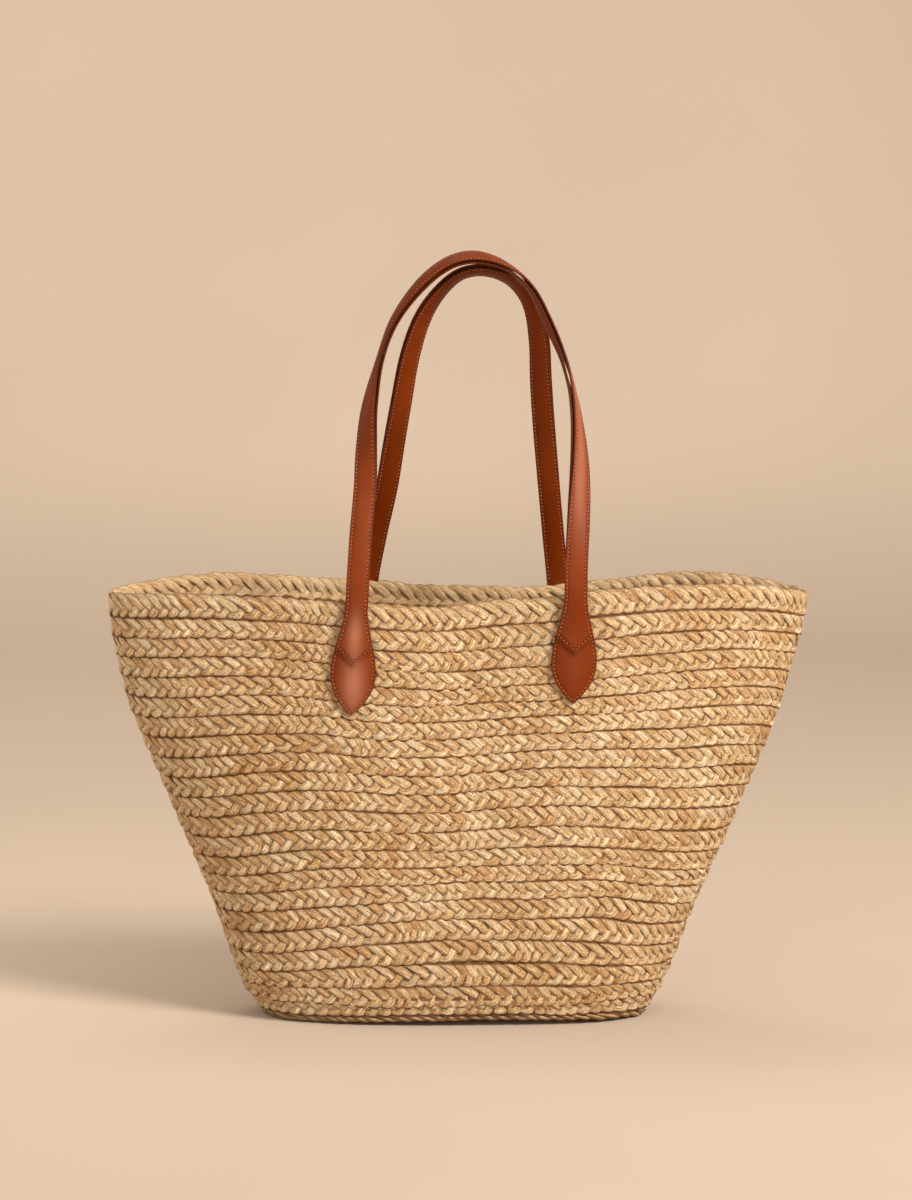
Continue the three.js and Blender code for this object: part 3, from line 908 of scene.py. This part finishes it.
def strapRoute(name):
    # a smooth line through tab, rim and arch stations, by distance from the left tip
    side = -1 if name == "front" else 1
    half = strap["spacing"] / 2
    rimAt = lambda place: float(rimHeight(side, np.array(place * half / (basket["rimWidth"] / 2))))

    def tabStations(tip, rim):
        top, drop = rimAt(rim), strap["tabDrop"]
        middle = ((tip + rim) / 2 * half, top - drop / 2, 0)
        return [(tip * half, top - drop, 0), middle, (rim * half, top, 0)]

    left, right = [tabStations(*tabPlaces[name][end]) for end in ("left", "right")]
    arch = [(a * half, basket["rimHeight"] + u * strap["rise"], t) for a, u, t in archRows[name]]
    x, z, turn = np.array(left + arch + right[::-1], float).T
    y = side * strapDepth(side, x, z, strap["gap"])
    chord = runAlong(np.stack([x, y, z], -1))
    rows = np.stack([chord, x, z, turn], -1)
    fine = np.linspace(0, chord[-1], 4000)
    x, z = tableValue(rows, 1, fine), tableValue(rows, 2, fine)
    y = side * strapDepth(side, x, z, strap["gap"])
    line = np.stack([x, y, z], -1)
    distance = runAlong(line)
    return {"side": side, "line": line, "distance": distance, "length": distance[-1],
            "turn": np.radians(tableValue(rows, 3, fine))}


def strapFrame(route, distance):
    # centre, outward and across directions of the strap at distances along it
    pick = lambda d: np.stack([np.interp(d, route["distance"], route["line"][:, k]) for k in range(3)], -1)
    centre = pick(distance)
    step = 0.0015
    along = unit(pick(np.minimum(distance + step, route["length"])) - pick(np.maximum(distance - step, 0)))
    facing = np.broadcast_to([0.0, float(route["side"]), 0.0], along.shape)
    outOfArch = unit(np.cross(facing, along) * -route["side"])
    outOfBag = np.cross(outOfArch, along) * route["side"]
    turn = np.interp(distance, route["distance"], route["turn"])[:, None]
    outward = outOfBag * np.cos(turn) + outOfArch * np.sin(turn)
    return centre, outward, np.cross(along, outward)


def tabHalfWidth(fromTip):
    # curved sides that meet in a point, then easing from the tab's width to the strap's
    rest = np.clip(1 - fromTip / strap["tabRound"], 0, 1)
    point = strap["tabWidth"] / 2 * (1 - rest ** strap["tabPoint"])
    eased = smoothStep(strap["tabRound"], strap["tabRound"] + strap["tabTaper"], fromTip)
    beyond = blendBetween(strap["tabWidth"], strap["width"], eased) / 2
    return np.where(fromTip < strap["tabRound"], point, beyond)


def liningHalfWidth(fromTip):
    grown = np.clip((fromTip - strap["liningStart"]) / strap["liningPoint"], 0, 1)
    return strap["width"] / 2 * np.maximum(grown, 0.04)


def leatherBottom(fromTip, across):
    # the outer leather steps up over the lining's point, so the step is a V
    start = strap["liningStart"] + np.abs(across) * strap["veeRise"] / strap["veeReach"]
    ramp = smoothStep(start - strap["liningRamp"], start, fromTip)
    return ramp * (strap["lining"] + strap["gap"])


def pressedVee(fromTip, across):
    # 1 on the V stitched through both layers, fading over its width to each side
    slope = strap["veeRise"] / strap["veeReach"]
    start = strap["liningStart"] + strap["veeStart"] + np.abs(across) * slope
    aside = (fromTip - start) / math.hypot(1, slope)
    return np.exp(-((aside / strap["veeWidth"]) ** 2)) * (np.abs(across) < strap["veeReach"])


def strapPoint(route, distance, across, height):
    # point at a distance along, across and above the strap's inner face; the last two are
    # arrays with one row for each distance
    centre, outward, sideways = strapFrame(route, distance)
    flat = centre[:, None] + sideways[:, None] * across[..., None]
    free = flat + outward[:, None] * height[..., None]
    seated = flat.copy()
    side = route["side"]
    seated[..., 1] = side * strapDepth(side, flat[..., 0], flat[..., 2], strap["gap"] + height)
    rim = rimHeight(side, flat[..., 0] / (basket["rimWidth"] / 2))
    share = smoothStep(rim, rim + strap["freeHeight"], flat[..., 2])[..., None]
    return seated * (1 - share) + free * share


def leatherTop(fromEdge, half, thickness, faces):
    # rounded edge, a channel pressed along the stitch line, and a slight dome
    s = strap
    rounding = np.sqrt(np.clip(1 - (1 - np.clip(fromEdge / s["edgeRound"], 0, 1)) ** 2, 0, 1))
    channel = s["channelDepth"] * np.exp(-(((fromEdge - s["channel"]) / s["channelWidth"]) ** 2))
    inside = np.clip((fromEdge - s["channel"]) / np.maximum(half - s["channel"], 0.0005), 0, 1)
    dome = s["dome"] * np.clip(half / s["tabWidth"] * 2, 0, 1) * (1 - (1 - inside) ** 2)
    full = s["edgeShare"] + (1 - s["edgeShare"]) * rounding
    return thickness * full - channel * faces + dome * faces


def strapStations(route, start):
    # close together at the rounded tips, then even
    tipShare = 1 - np.cos(np.linspace(0.02, 1, 16) * np.pi / 2)
    near = start + tipShare * (strap["tabRound"] if start == 0 else strap["liningPoint"])
    closeEnd = strap["liningStart"] + strap["liningPoint"] + 0.003
    if start == 0:
        near = np.concatenate([near, np.arange(near[-1] + 0.0015, closeEnd, 0.0007)])
    count = int((route["length"] - 2 * near[-1]) / strap["step"])
    middle = np.linspace(near[-1], route["length"] - near[-1], count + 1)[1:-1]
    return np.concatenate([near, middle, route["length"] - near[::-1]])


# Painted sheen, paler spots where highlights fall: distance from the left tip, or from the right one
# where below 0, across, reach along and across, amount
paintedSheenRows = {
    "front": [
        (0.022, 0.0005, 0.019, 0.008, 0.5), (0.058, 0.0, 0.014, 0.005, 0.45), (0.15, 0.0, 0.05, 0.006, 0.05),
        (-0.03, 0.0, 0.02, 0.008, 0.05), (-0.17, 0.001, 0.05, 0.006, 0.34), (-0.25, 0.002, 0.05, 0.006, 0.34),
    ],
    "back": [
        (0.185, 0.0, 0.045, 0.006, 0.7), (-0.022, 0.0, 0.017, 0.008, 0.3), (-0.18, 0.0, 0.05, 0.006, 0.3),
    ],
}


def paintedSheenAmount(name, route, distance, across):
    # painted sheen: a sum of soft spots
    total = np.zeros_like(across)
    for place, aside, along, wide, amount in paintedSheenRows[name]:
        middle = place if place > 0 else route["length"] + place
        spot = np.exp(-(((distance - middle) / along) ** 2) - ((across - aside) / wide) ** 2)
        total = total + amount * spot
    return total


# distances from the strap's edge of the lines that its face is built on
edgeSteps = [0.0, 0.00012, 0.0003, 0.0006, 0.0012, 0.0016, 0.0019, 0.0022, 0.0027, 0.0035, 0.0044, 0.0054,
             0.0065, 0.0077, 0.0089, 0.0102, 0.0116, 0.0131, 0.0146]

# dark edge paint: how far in from the edge it fades; and painted shade: how strong it is in the seam and in
# the V
paintAndShadeShares = {"edge": (0.0002, 0.0006), "seam": 0.85, "seamWidth": 0.0005, "vee": 0.9}


def strapLayer(route, name, start, halfWidthAt, bottomAt, thickness, outerFace, material, node):
    # closed section at each station: the face with its channels, and a plain underside
    distance = strapStations(route, start)
    fromTip = np.minimum(distance, route["length"] - distance)
    half = halfWidthAt(fromTip)
    slope = np.arctan2(np.abs(np.gradient(half, distance)), 1.0)
    lean = np.cos(np.clip(slope, 0, 1.35))
    fromEdge = np.array(edgeSteps)
    share = np.linspace(0, 0.94, len(fromEdge))
    inward = np.minimum(fromEdge[None, :] / lean[:, None], half[:, None] * share[None, :])
    trueEdge = inward * lean[:, None]
    aside = half[:, None] - inward
    places = np.concatenate([-aside, np.zeros((len(half), 1)), aside[:, ::-1]], 1)
    edges = np.concatenate([trueEdge, (half * lean)[:, None], trueEdge[:, ::-1]], 1)
    bottom = bottomAt(fromTip[:, None], places)
    vee = pressedVee(fromTip[:, None], places) if outerFace else 0 * places
    face = leatherTop(edges, (half * lean)[:, None], thickness, 1.0) - strap["veeDepth"] * vee
    under = thickness * strap["underShare"] * (1 - np.clip(edges / strap["underRound"], 0, 1))
    if outerFace:
        top, low = bottom + face, bottom + under
    else:
        top, low = bottom + thickness - under, bottom + thickness - face
    upper = strapPoint(route, distance, places, top)
    lower = strapPoint(route, distance, places, low)
    loops = np.concatenate([upper, lower[:, ::-1]], 1)
    # edge paint at the edges, and painted shade in the stitch channel and along the pressed V
    p = paintAndShadeShares
    seam = p["seam"] * np.exp(-(((edges - strap["channel"]) / p["seamWidth"]) ** 2))
    paintAndShade = np.maximum(np.maximum(1 - smoothStep(*p["edge"], edges), seam), p["vee"] * vee)
    paintAndShade = np.concatenate([paintAndShade, paintAndShade[:, ::-1]], 1)
    # painted sheen: paler spots where highlights fall, on the face only
    paintedSheen = paintedSheenAmount(name.split("_")[0], route, distance[:, None], places)
    paintedSheen = np.concatenate([paintedSheen, 0 * paintedSheen], 1)
    rows, columns = loops.shape[:2]
    quads = gridQuads(rows, columns, False, True)
    caps = [np.arange(columns)[::-1], np.arange(columns) + (rows - 1) * columns]
    values = {"edge": paintAndShade.ravel(), "paintedSheen": paintedSheen.ravel()}
    piece = makeMesh(name, loops.reshape(-1, 3), quads, material, caps, values)
    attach(piece, "root")
    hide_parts(node)


stitch = {
    "pitch": 0.0028,
    "length": 0.0021,
    "radius": 0.00046,
    "sides": 5,
    "rings": 5,
    "reach": 0.97,
    "dip": 1.3,  # how deep its ends go, in radii
    "sink": 0.0001,
    "fromEnd": 0.0024,
}


def stitchMesh(name, middle, along, outward):
    # each stitch is a short round thread that dips at both ends: radius = full * sqrt(1 - t^4)
    t = np.linspace(-stitch["reach"], stitch["reach"], stitch["rings"])
    theta = np.arange(stitch["sides"]) / stitch["sides"] * 2 * np.pi
    radius = stitch["radius"] * np.sqrt(1 - t ** 4)
    dip = -stitch["radius"] * stitch["dip"] * t ** 4
    side = np.cross(along, outward)
    core = middle[:, None] + along[:, None] * (t * stitch["length"] / 2)[None, :, None]
    core = core + outward[:, None] * dip[None, :, None]
    aside = (radius[:, None] * np.cos(theta)[None, :])[None, ..., None]
    above = (radius[:, None] * np.sin(theta)[None, :])[None, ..., None]
    ring = core[:, :, None] + side[:, None, None] * aside
    ring = ring + outward[:, None, None] * above
    count, rings, sides = ring.shape[:3]
    one = gridQuads(rings, sides, False, True)
    offset = (np.arange(count) * rings * sides)[:, None, None]
    quads = (one[None] + offset).reshape(-1, 4)
    first = np.arange(sides)[None] + offset[:, 0]
    caps = np.concatenate([first[:, ::-1], first + (rings - 1) * sides])
    piece = makeMesh(name, ring.reshape(-1, 3), quads, waxedThread, list(caps))
    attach(piece, "root")


def evenStitches(route, distance, across, height, sign):
    # a line on the strap sampled finely, then a stitch at each pitch of its own length
    point = strapPoint(route, distance, across[:, None], height[:, None])[:, 0]
    ahead = strapPoint(route, distance, across[:, None], height[:, None] + 0.001)[:, 0]
    outward = unit(ahead - point) * sign
    along = unit(np.gradient(point, axis=0))
    outward = unit(outward - along * np.sum(outward * along, -1, keepdims=True))
    run = runAlong(point)
    count = int(run[-1] / stitch["pitch"])
    at = (np.arange(count) + 0.5) * run[-1] / count
    pick = lambda values: np.stack([np.interp(at, run, values[:, k]) for k in range(3)], -1)
    return pick(point), unit(pick(along)), unit(pick(outward))


def handleStitches(route, name):
    middles, alongs, outwards = [], [], []
    inset = strap["channel"]

    def add(distance, across, height, sign):
        found = evenStitches(route, distance, across, height, sign)
        for store, values in zip((middles, alongs, outwards), found):
            store.append(values)

    fine = np.linspace(stitch["fromEnd"], route["length"] - stitch["fromEnd"], 3000)
    fromTip = np.minimum(fine, route["length"] - fine)
    half = tabHalfWidth(fromTip)
    lean = np.cos(np.arctan2(np.abs(np.gradient(half, fine)), 1.0))
    seam = np.maximum(half - inset / np.maximum(lean, 0.25), 0.0)
    top = leatherBottom(fromTip, seam) + strap["leather"] - strap["channelDepth"] + stitch["sink"]
    for sign in (-1, 1):
        add(fine, sign * seam, top, 1)
    free = fine[(fromTip > strap["tabDrop"] + 0.004)]
    for sign in (-1, 1):
        edge = np.full(len(free), sign * (strap["width"] / 2 - inset))
        add(free, edge, np.full(len(free), strap["channelDepth"] - stitch["sink"]), -1)
    for end in (0, 1):
        for sign in (-1, 1):
            t = np.linspace(0.0, 1.0, 60)
            tipDistance = strap["liningStart"] + strap["veeStart"] + t * strap["veeRise"]
            distance = tipDistance if end == 0 else route["length"] - tipDistance
            across = t * strap["veeReach"]
            half = tabHalfWidth(tipDistance)
            face = leatherTop(half - across, half, strap["leather"], 1.0)
            height = leatherBottom(tipDistance, across) + face - strap["veeDepth"] + stitch["sink"]
            add(distance, sign * across, height, 1)
    stitchMesh(name, np.concatenate(middles), np.concatenate(alongs), np.concatenate(outwards))
    print(name, len(np.concatenate(middles)), "stitches")


for name in ("front", "back"):
    route = strapRoute(name)
    strapLayer(route, f"{name}_handle_leather", 0.0, tabHalfWidth, leatherBottom,
               strap["leather"], True, handleLeather, f"{name}_handle")
    strapLayer(route, f"{name}_lining_leather", strap["liningStart"], liningHalfWidth,
               lambda d, a: d * a * 0, strap["lining"], False, liningLeather,
               f"{name}_handle_lining")
    handleStitches(route, f"{name}_stitches")
print("handles made")


# Studio: camera, floor and lights

studio = {
    "cameraDistance": 2.6,
    "cameraHeight": 0.55,
    "cameraSide": -0.0014,
    "pitch": 5.5,
    "focalPixels": 3630.0,
    "imageHeight": 1200.0,
    "sensor": 36.0,
    "floorColour": (0.515, 0.415, 0.325),
    "floorTones": (0.97, 1.03),
    # painted shade: the floor is darker far behind the bag, towards the wall
    "farFloorShade": 0.82,  # the floor's tone behind the bag
    "floorBend": 1.2,  # radius of the curve up into the wall
    "floorReach": 2.4,
    "wallHeight": 5.0,
}

# name, place, target, size, power, colour
lights = [
    ("key", (2.2, -2.05, 2.6), (0, 0, 0.2), 1.5, 178, (1.0, 0.955, 0.89)),
    ("fill", (-0.9, -2.9, 0.75), (0, 0, 0.25), 1.0, 15, (1.0, 0.95, 0.88)),
    ("bounce", (-0.75, 0.15, 0.45), (-0.2, 0.05, 0.0), 0.4, 1.5, (1.0, 0.95, 0.9)),
    ("backdrop", (-0.7, 1.4, 3.4), (-1.0, 3.6, 1.6), 2.0, 72, (1.0, 0.96, 0.91)),
]


def makeCamera():
    data = bpy.data.cameras.new("camera")
    data.sensor_width = studio["sensor"]
    data.lens = studio["focalPixels"] / studio["imageHeight"] * studio["sensor"]
    data.clip_end = 50
    camera = bpy.data.objects.new("camera", data)
    camera.location = (studio["cameraSide"], -studio["cameraDistance"], studio["cameraHeight"])
    camera.rotation_euler = (math.radians(90 - studio["pitch"]), 0, 0)
    bpy.context.scene.collection.objects.link(camera)
    bpy.context.scene.camera = camera


def makeFloor():
    # flat floor that curves up behind into a plain wall: an arc of radius bend
    bend, reach, wall = studio["floorBend"], studio["floorReach"], studio["wallHeight"]
    turn = np.linspace(0, np.pi / 2, 24)
    y = np.concatenate([[-8.0, -2.0], reach + bend * np.sin(turn), [reach + bend]])
    z = np.concatenate([[0.0, 0.0], bend - bend * np.cos(turn), [wall]])
    x = np.linspace(-9, 9, 7)
    points = np.stack(np.broadcast_arrays(x[None, :], y[:, None], z[:, None]), -1)
    material, tree, shader = newMaterial("paperBackdrop")
    pale, deep, shaded = [
        tuple(tone * value for value in studio["floorColour"])
        for tone in (studio["floorTones"][1], studio["floorTones"][0], studio["farFloorShade"])
    ]
    colour = noiseColour(tree, 1.6, 2.0, (0.3, deep), (0.7, pale))
    place = addNode(tree, "SeparateXYZ", {"Vector": objectPlace(tree)})
    # painted shade: darker far back on the floor, fading out up the wall
    far = easedRange(tree, place.outputs["Y"], 0.3, 2.2, 0.0, 0.8)
    low = easedRange(tree, place.outputs["Z"], 0.0, 0.25, 1.0, 0.0)
    colour = mixColour(tree, numberMath(tree, "MULTIPLY", far, low), colour, shaded)
    setInputs(tree, shader, {"Base Color": colour, "Roughness": 0.9, "Specular IOR Level": 0.1})
    floor = makeMesh("floor", points.reshape(-1, 3), gridQuads(len(y), len(x), False, False), material)
    floor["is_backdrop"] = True


def areaLight(name, place, target, size, power, colour):
    data = bpy.data.lights.new(name, "AREA")
    data.shape = "DISK"
    data.size = size
    data.energy = power
    data.color = colour
    light = bpy.data.objects.new(name, data)
    light.location = place
    direction = np.array(target) - np.array(place)
    flat = math.hypot(direction[0], direction[1])
    light.rotation_euler = (math.atan2(flat, -direction[2]), 0, math.atan2(-direction[0], direction[1]))
    bpy.context.scene.collection.objects.link(light)


makeCamera()
makeFloor()
for light in lights:
    areaLight(*light)
world = bpy.data.worlds.new("world")
world.use_nodes = True
background = world.node_tree.nodes["Background"]
background.inputs["Color"].default_value = (1.0, 0.93, 0.85, 1)
direction = addNode(world.node_tree, "TexCoord").outputs["Generated"]
sideways = addNode(world.node_tree, "SeparateXYZ", {"Vector": direction}).outputs["X"]
glow = easedRange(world.node_tree, sideways, -0.9, 0.6, 0.5, 0.6, "LINEAR")
world.node_tree.links.new(glow, background.inputs["Strength"])
bpy.context.scene.world = world
bpy.context.scene.view_settings.view_transform = "Standard"
print("studio made")

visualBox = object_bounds()
boxes = {"cad": cadBox, "visual": visualBox}
{key: [list(corner) for corner in box] for key, box in boxes.items()}
